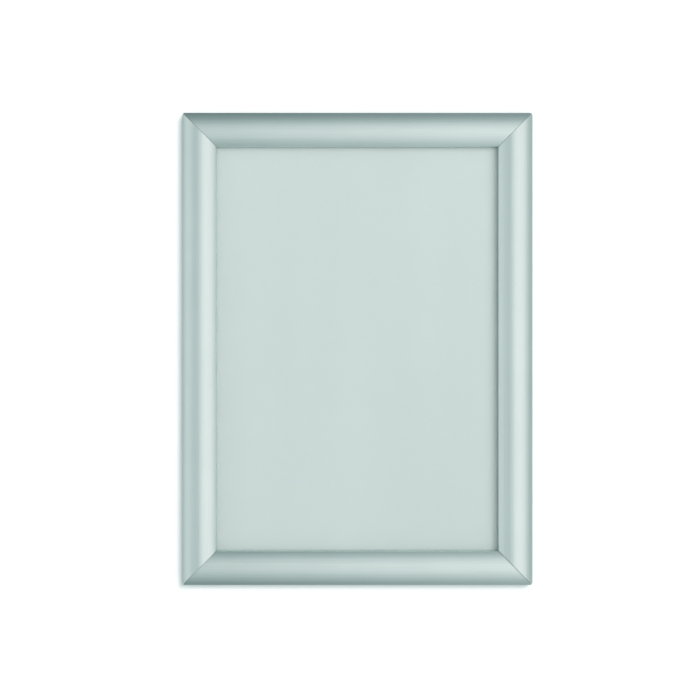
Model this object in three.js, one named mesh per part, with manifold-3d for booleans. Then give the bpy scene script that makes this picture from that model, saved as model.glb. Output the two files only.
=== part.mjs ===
// A snap-open poster frame in mitred aluminium: four fixed base rails, four sprung flip rails, corner brackets,
// a back panel and a clear cover sheet. Millimetres, +Z up, the front faces -Y, and the origin is the middle of
// the plane that lies on the wall.
import * as THREE from 'three';
import { mergeVertices } from 'three/addons/utils/BufferGeometryUtils.js';
import Module from 'manifold-3d';

const wasm = await Module();
wasm.setup();
const { Manifold, Mesh: SolidMesh } = wasm;

// Angles are written in degrees.
const deg = Math.PI / 180;
const quarterTurn = 90 * deg;
const halfTurn = 180 * deg;
const fullTurn = 360 * deg;
const mitreAngle = 45 * deg;

// The printed sheet that the frame holds, and how much of its edge the rails cover
const printWidth = 210;
const printHeight = 297;
const printThickness = 0.2;
const printOverlap = 4.5;

// A rail as the viewer sees it: the face from the frame's outer edge to the window
const railFace = 24.5;
const frameWidth = printWidth + 2 * (railFace - printOverlap);
const frameHeight = printHeight + 2 * (railFace - printOverlap);

// Saw gaps at the mitres, each measured square to the cut on one side, and the blunted outer tips
const baseMitreGap = 0.1;
const flipMitreGap = 0.15;
const tipRadius = 2;
const overrun = 5;

// Hinge: a bead on the base rail turns in a hook on the flip rail
const beadRadius = 1.6;
const neckThickness = 0.9;
const hingeClearance = 0.1;
const hookWall = 0.95;
const hookBore = beadRadius + hingeClearance;
const hookRadius = hookBore + hookWall;
const hookOuterEnd = 160 * deg;
const hookTailEnd = -70 * deg;
const swing = 90 * deg;
const swingSteps = 6;

// The nose at the hook's tail, which the spring pushes on
const noseHeight = 0.5;
const noseAngle = 8 * deg;
const noseClearance = 0.1;

// Base rail
const floorThickness = 1.2;
const flangeThickness = 0.7;
const flangeHeight = 2;
const ledgeSetback = 0.8;
const sheetPlay = 0.8;
const pocketWall = 1.2;
const channelWall = 1;
const channelLip = 1.4;
const channelLipThickness = 0.9;
const springGroove = 1;
const springGrooveReach = 1.2;
const springGrooveCap = 0.8;

// Flip rail: an arched skin with a turned-in lip and a clamping foot along the window
const archRadius = 16;
const archStart = 145 * deg;
const skin = 1.3;
const edgeRadius = 0.6;
const lipThickness = 1.2;
const footReach = 3.7;
const footThickness = 1;
const footGap = 0.15;

// Sheets in the pocket, from the back to the front
const sheetGap = 0.1;
const panelThickness = 1.5;
const panelPlay = 0.5;
const coverThickness = 0.5;
const sheetCorner = 1.5;

// Corner brackets and their set screws
const bracketThickness = 2;
const bracketWidth = 8.8;
const bracketPlay = 0.2;
const bracketLift = 0.1;
const bracketLeg = 34;
const bracketCorner = 1;
const bracketInnerCorner = 0.5;
const screwDiameter = 3.9;
const screwClearance = 0.15;
const screwLength = 2.7;
const screwInset = 24;
const socketAcrossFlats = 2;
const socketDepth = 1.2;

// Springs: two steel leaves under each flip rail
const springThickness = 0.35;
const springWidth = 18;
const springInset = 65;
const springTipAngle = -58 * deg;
const springTipGap = 0.12;
const springEndGap = 0.3;
const springTipStraight = 1.9;
const springRise = 1.5;

// Holes for the wall screws, in the floor of the top and bottom base rails
const wallHole = 4.5;
const wallHoleInset = 50;

// Facets
const arcSegments = 12;
const holeSegments = 12;
const springSteps = 26;

// Places across a rail: u runs from the frame's outer edge to the window, v from the wall to the viewer
const hinge = new THREE.Vector2(
  -hookRadius * Math.cos(hookOuterEnd),
  floorThickness + noseClearance + noseHeight + hookRadius,
);
const archCentre = hinge.clone().sub(polar(archRadius - hookRadius, archStart));
const ledgeEdge = railFace - ledgeSetback;
const pocketEdge = railFace - printOverlap - sheetPlay;
const channelEnd = pocketEdge - pocketWall;
const channelStart = channelEnd - bracketWidth - 2 * bracketPlay;
const channelOuter = channelStart - channelWall;
const lipUnder = floorThickness + bracketThickness + bracketLift + bracketPlay;
const lipTop = lipUnder + channelLipThickness;
const grooveTop = lipTop + springGroove;
const pocketTop = grooveTop + springGrooveCap;
const panelBack = floorThickness + sheetGap;
const coverBack = panelBack + panelThickness + printThickness;
const coverFront = coverBack + coverThickness;
const footUnder = coverFront + footGap;
const channelMiddle = (channelStart + channelEnd) / 2;
const bracketPlace = channelStart + bracketPlay;
const screwPlaces = [
  [screwInset, bracketWidth / 2],
  [bracketWidth / 2, screwInset],
];

const across = { length: frameWidth, half: frameHeight / 2, holes: true };
const upright = { length: frameHeight, half: frameWidth / 2, holes: false };
const sides = [
  { name: 'bottom', turn: 0, corner: 'bottom_left', ...across },
  { name: 'right', turn: -quarterTurn, corner: 'bottom_right', ...upright },
  { name: 'top', turn: halfTurn, corner: 'top_right', ...across },
  { name: 'left', turn: quarterTurn, corner: 'top_left', ...upright },
];

const materials = {
  anodised: new THREE.MeshStandardMaterial({ color: 0xc3d0cd, roughness: 0.38, metalness: 0.85 }),
  mill: new THREE.MeshStandardMaterial({ color: 0xaab5b3, roughness: 0.45, metalness: 0.85 }),
  zinc: new THREE.MeshStandardMaterial({ color: 0xb4b8b9, roughness: 0.35, metalness: 1 }),
  springSteel: new THREE.MeshStandardMaterial({ color: 0x8f969b, roughness: 0.3, metalness: 1 }),
  blackSteel: new THREE.MeshStandardMaterial({ color: 0x2b2d30, roughness: 0.5, metalness: 0.8 }),
  panel: new THREE.MeshStandardMaterial({ color: 0xc9d7d4, roughness: 0.7, metalness: 0 }),
  cover: new THREE.MeshStandardMaterial({
    color: 0xd6e2e0,
    roughness: 0.45,
    metalness: 0,
    transparent: true,
    opacity: 0.35,
  }),
};

function polar(radius, angle) {
  return new THREE.Vector2(Math.cos(angle), Math.sin(angle)).multiplyScalar(radius);
}

function solidOf(geometry) {
  const bare = geometry.clone();
  bare.deleteAttribute('normal');
  bare.deleteAttribute('uv');
  const merged = mergeVertices(bare);
  return new Manifold(
    new SolidMesh({
      numProp: 3,
      vertProperties: new Float32Array(merged.attributes.position.array),
      triVerts: new Uint32Array(merged.index.array),
    }),
  );
}

function geometryOf(solid) {
  const { vertProperties, triVerts } = solid.getMesh();
  const geometry = new THREE.BufferGeometry();
  geometry.setAttribute('position', new THREE.BufferAttribute(new Float32Array(vertProperties), 3));
  geometry.setIndex(new THREE.BufferAttribute(new Uint32Array(triVerts), 1));
  geometry.computeVertexNormals();
  return geometry;
}

// A mesh ready for its place in the frame.
function piece(name, geometry, material) {
  const mesh = new THREE.Mesh(geometry, material);
  mesh.name = name;
  return mesh;
}

// Extrudes a cross-section drawn in u and v along the rail: x along it, -y out of the wall, z towards the window.
function extrudeRail(section, length) {
  const geometry = new THREE.ExtrudeGeometry(section, {
    depth: length,
    steps: 1,
    bevelEnabled: false,
    curveSegments: arcSegments,
  });
  geometry.translate(0, 0, -length / 2);
  const inward = new THREE.Vector3(0, 0, 1);
  const outward = new THREE.Vector3(0, -1, 0);
  const along = new THREE.Vector3(1, 0, 0);
  return geometry.applyMatrix4(new THREE.Matrix4().makeBasis(inward, outward, along));
}

// Extrudes an outline drawn in the frame's plane (x right, z up) from one distance off the wall to another.
function extrudePlate(outline, back, front) {
  const geometry = new THREE.ExtrudeGeometry(outline, {
    depth: front - back,
    bevelEnabled: false,
    curveSegments: holeSegments,
  });
  geometry.rotateX(quarterTurn);
  return geometry.translate(0, -back, 0);
}

// Moves a cutter, alike in front of and behind the wall plane, to the start of a rail, or to its end when end is 1.
function atEnd(cutter, length, end) {
  cutter.translate(-length / 2, 0, 0);
  return end > 0 ? cutter.rotateZ(halfTurn) : cutter;
}

// The neighbour's side of the mitre.
function beyondMitre(length, gap, end) {
  const block = new THREE.BoxGeometry(length, length, length);
  block.translate(-length / 2, 0, 0);
  block.rotateY(mitreAngle);
  block.translate(gap * Math.SQRT2, 0, 0);
  return atEnd(block, length, end);
}

// What comes off the outer corner to blunt its sharp tip.
function beyondTip(length, end) {
  const outline = new THREE.Shape();
  outline.moveTo(-overrun, -overrun);
  outline.lineTo(tipRadius, -overrun);
  outline.lineTo(tipRadius, 0);
  outline.absarc(tipRadius, tipRadius, tipRadius, -quarterTurn, halfTurn, true);
  outline.lineTo(-overrun, tipRadius);
  outline.closePath();
  return atEnd(extrudePlate(outline, -archRadius, archRadius), length, end);
}

// Turns a block round the hinge line, against the way that the flip rail opens.
function turnedBack(block, angle) {
  const geometry = block.clone();
  geometry.translate(0, hinge.y, -hinge.x);
  geometry.rotateX(-angle);
  return geometry.translate(0, -hinge.y, hinge.x);
}

function baseSection() {
  const neckHalf = neckThickness / 2;
  const neckAngle = Math.asin(neckHalf / beadRadius);
  const down = -quarterTurn;
  const section = new THREE.Shape();
  section.moveTo(0, 0);
  section.lineTo(ledgeEdge, 0);
  section.lineTo(ledgeEdge, floorThickness);
  section.lineTo(pocketEdge, floorThickness);
  section.lineTo(pocketEdge, pocketTop);
  section.lineTo(channelEnd - springGrooveReach, pocketTop);
  section.lineTo(channelEnd - springGrooveReach, grooveTop);
  section.lineTo(channelEnd, grooveTop);
  section.lineTo(channelEnd, lipTop);
  section.lineTo(channelEnd - channelLip, lipTop);
  section.lineTo(channelEnd - channelLip, lipUnder);
  section.lineTo(channelEnd, lipUnder);
  section.lineTo(channelEnd, floorThickness);
  section.lineTo(channelStart, floorThickness);
  section.lineTo(channelStart, lipUnder);
  section.lineTo(channelStart + channelLip, lipUnder);
  section.lineTo(channelStart + channelLip, lipTop);
  section.lineTo(channelOuter, lipTop);
  section.lineTo(channelOuter, floorThickness);
  section.lineTo(hinge.x + neckHalf, floorThickness);
  section.absarc(hinge.x, hinge.y, beadRadius, down + neckAngle, down - neckAngle, false);
  section.lineTo(hinge.x - neckHalf, floorThickness);
  section.lineTo(flangeThickness, floorThickness);
  section.lineTo(flangeThickness, flangeHeight);
  section.lineTo(0, flangeHeight);
  section.closePath();
  return section;
}

// The angle round the hinge at which the arch's underside meets the hook.
function hookMeetsArch() {
  const reach = archRadius - hookRadius;
  const inner = archRadius - skin;
  const cosine = (inner ** 2 - reach ** 2 - hookRadius ** 2) / (2 * reach * hookRadius);
  return archStart - Math.acos(cosine);
}

function flipSection() {
  const edgeX = railFace - edgeRadius - archCentre.x;
  const edgeDistance = archRadius - edgeRadius;
  const edge = archCentre.clone().add(new THREE.Vector2(edgeX, Math.sqrt(edgeDistance ** 2 - edgeX ** 2)));
  const edgeAngle = Math.acos(edgeX / edgeDistance);
  const inner = archRadius - skin;
  const lipInside = railFace - lipThickness;
  const insideAngle = Math.acos((lipInside - archCentre.x) / inner);
  const meet = hookMeetsArch();
  const meetFromCentre = polar(hookRadius, meet).add(hinge).sub(archCentre).angle();
  const noseTop = hookTailEnd + noseAngle;
  const tailInner = polar(hookBore, hookTailEnd).add(hinge);
  const noseFoot = polar(hookRadius + noseHeight, noseTop).add(hinge);
  const lipStart = polar(hookRadius, hookOuterEnd).add(hinge);

  const section = new THREE.Shape();
  section.moveTo(lipStart.x, lipStart.y);
  section.absarc(hinge.x, hinge.y, hookRadius, hookOuterEnd, archStart, true);
  section.absarc(archCentre.x, archCentre.y, archRadius, archStart, edgeAngle, true);
  section.absarc(edge.x, edge.y, edgeRadius, edgeAngle, 0, true);
  section.lineTo(railFace, footUnder);
  section.lineTo(railFace - footReach, footUnder);
  section.lineTo(railFace - footReach, footUnder + footThickness);
  section.lineTo(lipInside, footUnder + footThickness);
  section.absarc(archCentre.x, archCentre.y, inner, insideAngle, meetFromCentre, false);
  section.absarc(hinge.x, hinge.y, hookRadius, meet, noseTop, true);
  section.lineTo(noseFoot.x, noseFoot.y);
  section.absarc(hinge.x, hinge.y, hookRadius + noseHeight, noseTop, hookTailEnd, true);
  section.lineTo(tailInner.x, tailInner.y);
  section.absarc(hinge.x, hinge.y, hookBore, hookTailEnd, hookOuterEnd, false);
  section.closePath();
  return section;
}

function wallHoleDrill(x) {
  const drill = new THREE.CylinderGeometry(wallHole / 2, wallHole / 2, 2 * overrun, 2 * holeSegments);
  return solidOf(drill.translate(x, 0, channelMiddle));
}

// A base rail, mitred at both ends, with the wall holes where this side has them.
function baseRail({ name, length, holes }) {
  let rail = solidOf(extrudeRail(baseSection(), length));
  for (const end of [-1, 1]) {
    rail = rail.subtract(solidOf(beyondMitre(length, baseMitreGap, end)));
    rail = rail.subtract(solidOf(beyondTip(length, end)));
    if (holes) rail = rail.subtract(wallHoleDrill(end * (length / 2 - wallHoleInset)));
  }
  return piece('base_rail_' + name, geometryOf(rail), materials.mill);
}

// A flip rail. Each end is cut by the mitre as it lies at every step of the swing, so that a rail can open alone.
function flipRail({ name, length }) {
  let rail = solidOf(extrudeRail(flipSection(), length));
  for (const end of [-1, 1]) {
    const neighbour = beyondMitre(length, flipMitreGap, end);
    for (let step = 0; step <= swingSteps; step += 1) {
      rail = rail.subtract(solidOf(turnedBack(neighbour, (swing * step) / swingSteps)));
    }
    rail = rail.subtract(solidOf(beyondTip(length, end)));
  }
  return piece('flip_rail_' + name, geometryOf(rail), materials.anodised);
}

// The line that a spring follows across the rail, from its tip under the nose to its end in the groove.
function springLine() {
  const tip = polar(hookRadius + springTipGap + springThickness / 2, springTipAngle).add(hinge);
  const leaving = polar(springTipStraight, springTipAngle + quarterTurn).add(tip);
  const end = new THREE.Vector2(channelEnd - springEndGap, lipTop + springGroove / 2);
  const overLip = new THREE.Vector2(channelOuter - channelWall, lipTop + springThickness / 2);
  const points = [
    tip,
    leaving,
    overLip,
    new THREE.Vector2(channelStart, lipTop + springRise - springThickness),
    new THREE.Vector2(channelMiddle - channelLip / 2, lipTop + springRise),
    new THREE.Vector2(channelEnd - 2 * springGrooveReach, end.y + springThickness),
    end,
  ];
  return new THREE.CatmullRomCurve3(points.map((p) => new THREE.Vector3(0, -p.y, p.x)));
}

function spring(name) {
  const section = new THREE.Shape();
  section.moveTo(-springWidth / 2, -springThickness / 2);
  section.lineTo(springWidth / 2, -springThickness / 2);
  section.lineTo(springWidth / 2, springThickness / 2);
  section.lineTo(-springWidth / 2, springThickness / 2);
  section.closePath();
  const leaf = new THREE.ExtrudeGeometry(section, { steps: springSteps, extrudePath: springLine() });
  return piece(name, leaf, materials.springSteel);
}

// Rounds a corner of an outline that runs anticlockwise, from the direction in which the corner starts.
function roundCorner(outline, x, z, radius, start) {
  outline.absarc(x, z, radius, start, start + quarterTurn, false);
}

// An L of flat steel, drawn from its outer corner, with a tapped hole in each leg.
function cornerBracket(name) {
  const outline = new THREE.Shape();
  const far = bracketLeg - bracketCorner;
  const near = bracketWidth - bracketCorner;
  const bend = bracketWidth + bracketInnerCorner;
  outline.moveTo(0, 0);
  outline.lineTo(far, 0);
  roundCorner(outline, far, bracketCorner, bracketCorner, -quarterTurn);
  roundCorner(outline, far, near, bracketCorner, 0);
  outline.absarc(bend, bend, bracketInnerCorner, -quarterTurn, halfTurn, true);
  roundCorner(outline, near, far, bracketCorner, 0);
  roundCorner(outline, bracketCorner, far, bracketCorner, quarterTurn);
  outline.closePath();
  const holeRadius = screwDiameter / 2 + screwClearance;
  for (const [x, z] of screwPlaces) {
    outline.holes.push(new THREE.Path().absarc(x, z, holeRadius, 0, fullTurn, true));
  }
  const back = floorThickness + bracketLift;
  return piece(name, extrudePlate(outline, back, back + bracketThickness), materials.zinc);
}

// A headless set screw with a hexagon socket, standing on the channel's floor.
function setScrew(name) {
  const back = floorThickness + bracketLift;
  const body = new THREE.CylinderGeometry(screwDiameter / 2, screwDiameter / 2, screwLength, 2 * holeSegments);
  body.translate(0, -back - screwLength / 2, 0);
  const corner = socketAcrossFlats / 2 / Math.cos(Math.PI / 6);
  const socket = new THREE.CylinderGeometry(corner, corner, socketDepth + overrun, 6);
  socket.translate(0, -back - screwLength + socketDepth - (socketDepth + overrun) / 2, 0);
  return piece(name, geometryOf(solidOf(body).subtract(solidOf(socket))), materials.blackSteel);
}

// A flat sheet with small rounded corners, centred in the frame.
function sheet(name, width, height, back, thickness, material) {
  const x = width / 2 - sheetCorner;
  const z = height / 2 - sheetCorner;
  const outline = new THREE.Shape();
  roundCorner(outline, x, -z, sheetCorner, -quarterTurn);
  roundCorner(outline, x, z, sheetCorner, 0);
  roundCorner(outline, -x, z, sheetCorner, quarterTurn);
  roundCorner(outline, -x, -z, sheetCorner, halfTurn);
  outline.closePath();
  return piece(name, extrudePlate(outline, back, back + thickness), material);
}

// One side of the frame: its rails, two springs, and the bracket and screws of the corner that it starts from.
function frameSide(side) {
  const { name, turn, length, half, corner } = side;
  const parts = [baseRail(side), flipRail(side)];
  for (const end of [-1, 1]) {
    const leaf = spring('spring_' + name + (end < 0 ? '_a' : '_b'));
    leaf.position.x = end * (length / 2 - springInset);
    parts.push(leaf);
  }
  const bracket = cornerBracket('corner_bracket_' + corner);
  bracket.position.set(bracketPlace - length / 2, 0, bracketPlace);
  parts.push(bracket);
  screwPlaces.forEach(([x, z], index) => {
    const screw = setScrew('set_screw_' + corner + (index === 0 ? '_a' : '_b'));
    screw.position.copy(bracket.position).add(new THREE.Vector3(x, 0, z));
    parts.push(screw);
  });
  const group = new THREE.Group();
  for (const part of parts) part.position.z -= half;
  group.add(...parts);
  group.rotation.y = turn;
  return group;
}

const pocketWidth = printWidth + 2 * sheetPlay;
const pocketHeight = printHeight + 2 * sheetPlay;
const frame = new THREE.Group();
frame.add(...sides.map(frameSide));
frame.add(
  sheet(
    'back_panel',
    pocketWidth - 2 * panelPlay,
    pocketHeight - 2 * panelPlay,
    panelBack,
    panelThickness,
    materials.panel,
  ),
);
frame.add(sheet('cover_sheet', printWidth, printHeight, coverBack, coverThickness, materials.cover));

export default frame;
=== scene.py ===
"""A snap-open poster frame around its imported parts: finished rails, springs, corner brackets, set screws,
back panel and cover sheet, with a wall, a floor, lights and a camera. Metres, +Z up, and the front faces -Y.

Places across a rail are given as u, from the frame's outer edge towards the window, and v, off the wall.
In the rails' code s is their sizes, p the places that follow from them, and c the finishes' colours."""

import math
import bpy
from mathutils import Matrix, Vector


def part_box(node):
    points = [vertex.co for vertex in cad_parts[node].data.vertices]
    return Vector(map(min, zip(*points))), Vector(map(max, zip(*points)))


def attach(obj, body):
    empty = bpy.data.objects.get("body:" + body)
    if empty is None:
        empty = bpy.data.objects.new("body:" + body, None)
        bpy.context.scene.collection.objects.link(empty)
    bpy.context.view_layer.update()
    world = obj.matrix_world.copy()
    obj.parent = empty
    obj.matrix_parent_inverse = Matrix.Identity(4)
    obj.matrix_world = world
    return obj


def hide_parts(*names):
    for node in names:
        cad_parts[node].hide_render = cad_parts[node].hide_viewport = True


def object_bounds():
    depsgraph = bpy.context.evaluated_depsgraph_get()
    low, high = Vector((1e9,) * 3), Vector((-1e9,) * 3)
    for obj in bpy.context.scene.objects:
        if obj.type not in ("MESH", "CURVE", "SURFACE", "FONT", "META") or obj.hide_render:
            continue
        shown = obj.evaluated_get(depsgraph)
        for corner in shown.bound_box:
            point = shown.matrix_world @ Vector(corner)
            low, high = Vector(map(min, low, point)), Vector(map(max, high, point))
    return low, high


bl_info = {
    "name": "Snap-open poster frame",
    "version": (1, 0, 0),
    "blender": (4, 5, 0),
    "location": "View3D > Sidebar > Poster frame",
    "description": "Models and finishes the pieces of a mitred aluminium poster frame",
    "category": "Add Mesh",
}

from types import SimpleNamespace

import bmesh
import bpy
from bpy.props import FloatProperty, FloatVectorProperty, IntProperty, PointerProperty
from mathutils import Matrix, Vector

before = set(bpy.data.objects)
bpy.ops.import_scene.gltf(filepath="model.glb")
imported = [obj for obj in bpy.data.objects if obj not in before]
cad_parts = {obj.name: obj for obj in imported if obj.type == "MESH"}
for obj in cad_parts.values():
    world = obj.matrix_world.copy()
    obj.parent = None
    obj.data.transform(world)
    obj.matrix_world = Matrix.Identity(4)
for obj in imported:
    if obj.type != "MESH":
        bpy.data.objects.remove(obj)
cad_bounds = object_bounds()

FRAME_WIDTH = cad_bounds[1].x - cad_bounds[0].x
FRAME_HEIGHT = cad_bounds[1].z - cad_bounds[0].z
RAIL_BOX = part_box("flip_rail_bottom")
COVER_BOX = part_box("cover_sheet")
BRACKET_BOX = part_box("corner_bracket_bottom_left")

# Points as close together as this are one
TOUCH = 1e-7
# Points as close as this to a cut or a hole's rim lie on it
NEAR = 10 * TOUCH
# Edges that turn by more than the first two are eased, and by less than the third are shaded smooth
EASED_ABOVE = math.radians(35)
SHEET_EASED_ABOVE = math.radians(60)
SMOOTH_BELOW = math.radians(30)
# A drill's length, in thicknesses of the wall that it goes through
DRILL_LENGTH = 4
# A spring's corner edges are no longer than this many of its shortest edge
CORNER_MARGIN = 1.2
SOCKET_SIDES = 6
ALONG = Vector((1, 0, 0))
OUT = Vector((0, -1, 0))
QUARTER = math.pi / 2

# Each side of the frame: how it is turned from the bottom one, its length, and its distance from the middle
SIDES = {
    "bottom": (0, FRAME_WIDTH, FRAME_HEIGHT / 2),
    "right": (-QUARTER, FRAME_HEIGHT, FRAME_WIDTH / 2),
    "top": (2 * QUARTER, FRAME_WIDTH, FRAME_HEIGHT / 2),
    "left": (QUARTER, FRAME_HEIGHT, FRAME_WIDTH / 2),
}
CORNERS = {"bottom_left": "bottom", "bottom_right": "right", "top_right": "top", "top_left": "left"}
# Opposite rails are sawn from one extrusion
UPRIGHT = ("left", "right")
PAIRS = (("bottom", "top"), UPRIGHT)
# A rail's two ends, along it from its middle
ENDS = (-1, 1)


def length(name, default, description):
    return FloatProperty(
        name=name, description=description, default=default, min=0, precision=5, unit="LENGTH"
    )


def angle(name, degrees, description):
    return FloatProperty(name=name, description=description, default=math.radians(degrees), subtype="ANGLE")


def share(name, default, description):
    return FloatProperty(name=name, description=description, default=default, min=0, max=1, subtype="FACTOR")


def level(name, default, description):
    return FloatProperty(name=name, description=description, default=default, min=0)


def colour(name, default, description):
    return FloatVectorProperty(
        name=name, description=description, default=default, min=0, max=1, subtype="COLOR"
    )


def count(name, default, description):
    return IntProperty(name=name, description=description, default=default, min=1)


class RailSizes(bpy.types.PropertyGroup):
    """Sizes across the rails"""

    face: length("Face", RAIL_BOX[1].z - RAIL_BOX[0].z, "From the outer edge to the window")
    base_gap: length("Base mitre gap", 0.0001, "From a base rail's cut to the mitre line")
    flip_gap: length("Flip mitre gap", 0.00008, "From a flip rail's cut to the mitre line")
    tip: length("Blunt tip", 0.002, "Radius of the frame's outer corners")
    bead: length("Bead", 0.0016, "Radius of the hinge bead on the base rail")
    neck: length("Neck", 0.0009, "Thickness of the web under the bead")
    bead_clearance: length("Bead clearance", 0.0001, "From the bead to the hook's bore")
    hook_wall: length("Hook wall", 0.00095, "Thickness of the hook round the bead")
    hook_start: angle("Hook start", 160, "Where the hook begins, seen from the hinge")
    hook_tail: angle("Hook tail", -70, "Where the hook ends, seen from the hinge")
    nose: length("Nose", 0.0005, "Height of the nose that the springs push on")
    nose_width: angle("Nose width", 8, "Width of the nose, seen from the hinge")
    nose_clearance: length("Nose clearance", 0.0001, "From the nose to the base rail's floor")
    arch: length("Arch", 0.016, "Outer radius of the flip rail's arched skin")
    arch_start: angle("Arch start", 145, "Where the arch leaves the hook")
    skin: length("Skin", 0.0013, "Thickness of the arched skin")
    edge: length("Window edge", 0.0006, "Radius of the flip rail's edge along the window")
    lip: length("Lip", 0.0012, "Thickness of the lip that turns down at the window")
    foot: length("Foot", 0.0037, "Width of the clamping foot")
    foot_thickness: length("Foot thickness", 0.001, "Thickness of the clamping foot")
    foot_gap: length("Foot gap", 0.00015, "From the cover sheet to the foot")
    floor: length("Floor", 0.0012, "Thickness of the base rail's floor")
    flange: length("Flange", 0.0007, "Thickness of the base rail's outer flange")
    flange_height: length("Flange height", 0.002, "Height of the base rail's outer flange")
    ledge_setback: length("Ledge setback", 0.0008, "From the window to the base rail's ledge")
    overlap: length("Overlap", 0.0045, "How far the rails cover the sheet's edge")
    sheet_play: length("Sheet play", 0.0008, "Room round the sheets in their pocket")
    pocket_wall: length("Pocket wall", 0.0012, "Thickness of the wall outside the sheets")
    bracket_play: length("Bracket play", 0.0002, "Room round the corner brackets")
    channel_wall: length("Channel wall", 0.001, "Thickness of the bracket channel's outer wall")
    channel_lip: length("Channel lip", 0.0014, "Width of the lips over the bracket channel")
    channel_lip_thickness: length("Lip thickness", 0.0009, "Thickness of the lips over the channel")
    groove: length("Spring groove", 0.001, "Height of the groove that holds the springs")
    groove_reach: length("Groove reach", 0.0012, "Width of the cap over the spring groove")
    groove_cap: length("Groove cap", 0.0008, "Thickness of the cap over the spring groove")
    eased_edge: length("Eased edge", 0.00008, "How far the extrusions' edges are eased")
    sawn_edge: length("Sawn edge", 0.0001, "How far the edges at the mitre are eased")
    sawn_front: length("Sawn front", 0.0049, "How far off the wall the edges at the mitre are eased")
    joint_slack: length("Joint slack", 0.0002, "How much wider the lower right joint is at the window")
    wall_hole: length("Wall hole", 0.0045, "Diameter of the holes for the wall screws")
    wall_hole_inset: length("Wall hole inset", 0.05, "From the rail's end to a wall hole")
    wall_hole_edge: length("Hole edge", 0.0002, "Chamfer round the wall holes")
    arch_steps: count("Arch steps", 48, "Facets along the arch")
    ring_steps: count("Ring steps", 24, "Facets round the bead and the hook")
    corner_steps: count("Corner steps", 6, "Facets round small corners")
    swing_steps: count("Swing steps", 6, "Steps of the swing that the mitres clear")


class FastenerSizes(bpy.types.PropertyGroup):
    """Sizes of the corner brackets, set screws, springs and sheets that their boxes don't give"""

    bracket_width: length("Bracket width", 0.0088, "Width of a bracket's leg")
    bracket_corner: length("Bracket corner", 0.001, "Radius of the bracket's outer corners")
    bracket_bend: length("Bracket bend", 0.0005, "Radius inside the bracket's bend")
    bracket_edge: length("Bracket edge", 0.00025, "Rounding of the stamped edges")
    screw_clearance: length("Screw clearance", 0.00015, "From a screw to the bracket's hole")
    screw_chamfer: length("Screw chamfer", 0.0003, "Chamfer at the screw's end")
    thread_pitch: length("Thread pitch", 0.0007, "Pitch of the set screw's thread")
    thread_depth: length("Thread depth", 0.0002, "Depth of the set screw's thread")
    socket: length("Socket", 0.002, "Width of the hexagon socket across its flats")
    socket_depth: length("Socket depth", 0.0012, "Depth of the hexagon socket")
    spring_corner: length("Spring corner", 0.0015, "Rounding at the corners of a spring leaf")
    spring_edge: length("Spring edge", 0.00006, "Easing of the spring's sheared edges")
    sheet_corner: length("Sheet corner", 0.0015, "Radius of the sheets' corners")
    panel_edge: length("Panel edge", 0.0002, "Easing of the back panel's edges")
    cover_edge: length("Cover edge", 0.0001, "Easing of the cover sheet's edges")
    round_steps: count("Round steps", 48, "Facets round the screws and their holes")
    corner_steps: count("Corner steps", 4, "Facets round the corners of brackets and springs")
    sheet_steps: count("Sheet steps", 8, "Facets round the corners of the sheets")


class FinishColours(bpy.types.PropertyGroup):
    """Colours and gloss of the finishes"""

    anodised: colour("Anodised", (0.73, 0.845, 0.825), "Satin anodised aluminium")
    anodised_roughness: share("Anodised roughness", 0.3, "Roughness of the flip rails")
    grain: share("Grain", 0.7, "How much more the aluminium scatters light across its grain than along it")
    mill: colour("Mill finish", (0.56, 0.62, 0.61), "Bare extruded aluminium")
    mill_roughness: share("Mill roughness", 0.42, "Roughness of the base rails")
    spring_steel: colour("Spring steel", (0.42, 0.44, 0.46), "Blank spring steel")
    zinc: colour("Zinc", (0.62, 0.64, 0.66), "Zinc-plated steel")
    black_steel: colour("Black steel", (0.035, 0.036, 0.04), "Black oxide on the set screws")
    panel: colour("Back panel", (0.72, 0.797, 0.78), "Polystyrene back panel")
    cover: colour("Cover sheet", (0.60, 0.675, 0.66), "Haze of the anti-glare cover sheet")
    cover_haze: share("Cover haze", 0.16, "How much the cover sheet hides what lies behind it")


class StageSettings(bpy.types.PropertyGroup):
    """The camera, the lights, the wall and the floor"""

    camera_distance: length("Camera distance", 1.2, "From the camera to the frame's outer edge")
    wall_size: length("Wall size", 3, "Width and height of the wall")
    wall_gap: length("Wall gap", 0.0002, "From the frame's back to the wall")
    floor_size: length("Floor size", 6, "Width and depth of the floor")
    floor_level: length("Floor level", 0.6, "From the frame's middle down to the floor")
    wall_colour: colour("Wall", (0.88, 1.0, 0.985), "Cool paint, which its warmer light turns white")
    floor_colour: colour("Floor", (0.8, 0.81, 0.81), "Pale floor")
    wall_glow: share("Wall glow", 0.1, "Light that the wall adds for the camera alone")
    floor_glow: share("Floor glow", 0.15, "Light that the floor adds")
    key_side: angle("Key side", 34, "How far to the right of the viewer the key light stands")
    key_height: angle("Key height", 3, "How high the key light stands above the viewer")
    key_spread: angle("Key spread", 46, "How wide the key light looks from the frame")
    wall_key_side: angle("Wall key side", 28, "How far to the right the light on the wall stands")
    wall_key_height: angle("Wall key height", 24.8, "How high the light on the wall stands")
    wall_key_spread: angle("Wall key spread", 31, "How wide the light on the wall looks from the frame")
    wall_key_colour: colour("Wall key colour", (1.0, 0.76, 0.77), "Colour of the light on the wall")
    key_level: level("Key level", 1.72, "Strength of the key light")
    wall_key_level: level("Wall key level", 1.8, "Strength of the light on the wall")
    room_level: level("Room level", 0.9, "Light from the whole room")


def polar(radius, direction):
    return Vector((math.cos(direction), math.sin(direction))) * radius


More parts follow.
